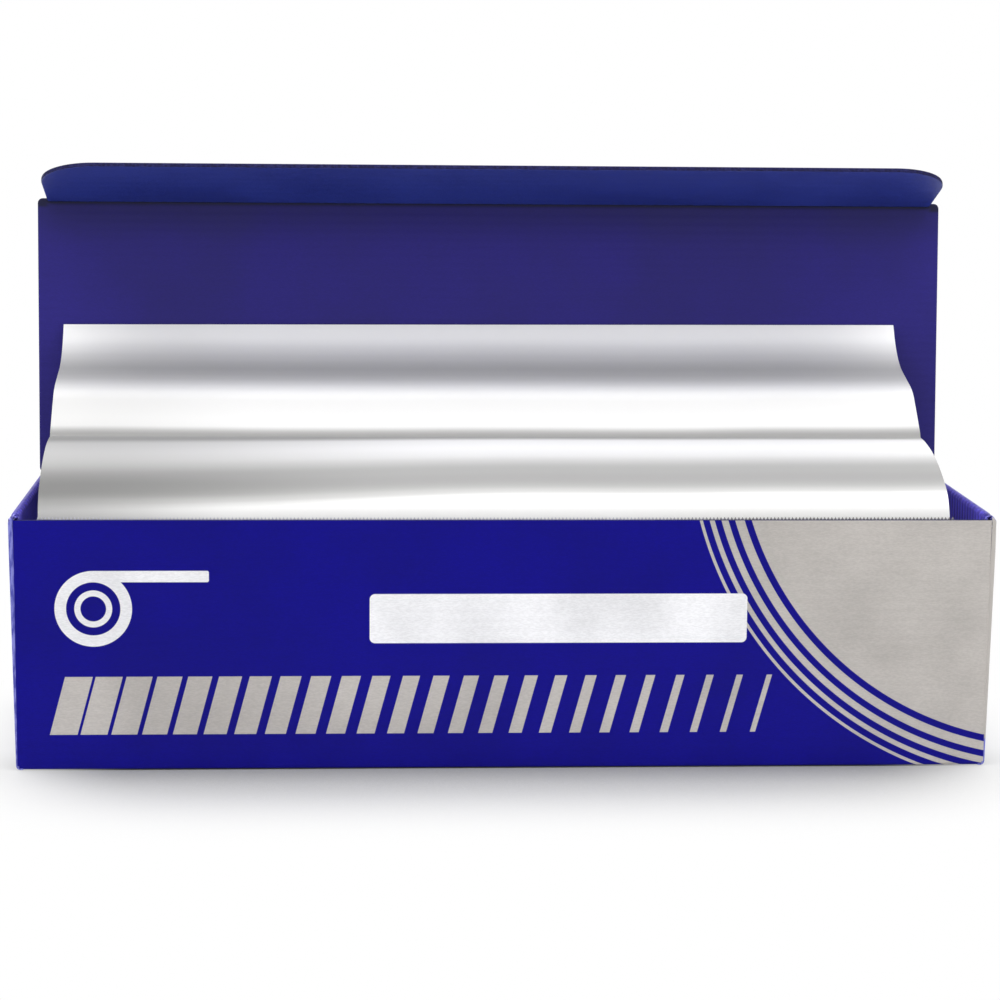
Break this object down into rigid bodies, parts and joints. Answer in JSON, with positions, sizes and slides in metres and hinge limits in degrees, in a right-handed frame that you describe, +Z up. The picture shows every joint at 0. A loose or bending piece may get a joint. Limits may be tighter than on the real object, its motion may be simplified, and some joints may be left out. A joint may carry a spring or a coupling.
{
  "type": "foil roll in cutter carton",
  "caption": "Roll of kitchen foil on a core in a long folding carton with an open lid, a tuck flap, a toothed cutter strip and a pulled-out leaf of foil.",
  "frame": {"origin": "centre of the carton's underside", "axes": "+X along the carton, +Z up, the front wall with the cutter faces -Y"},
  "size_m": [0.328, 0.1086, 0.1984],
  "materials": {
    "printed_board": "satin",
    "cutter_steel": "satin",
    "core_board": "matte",
    "foil": "gloss"
  },
  "bodies": {
    "carton": {"carton_tray": "printed_board", "cutter_strip": "cutter_steel", "core_tube": "core_board", "foil_roll": "foil", "foil_leaf": "foil"},
    "lid": {"carton_lid": "printed_board"},
    "flap": {"tuck_flap": "printed_board"}
  },
  "joints": [
    {"name": "lid_hinge", "type": "hinge", "parent": "carton", "child": "lid", "pos_m": [0, 0.0497, 0.0864], "axis": [1, 0, 0], "range_deg": [-85, 94.5], "deforming": ["foil_leaf"]},
    {"name": "flap_fold", "type": "hinge", "parent": "lid", "child": "flap", "pos_m": [0, 0.05733, 0.1833], "axis": [1, 0, 0], "range_deg": [-36.5, 40.6]}
  ],
  "couplings": [
    {"joint": "flap_fold", "follows": "lid_hinge", "ratio": 0.42857}
  ]
}
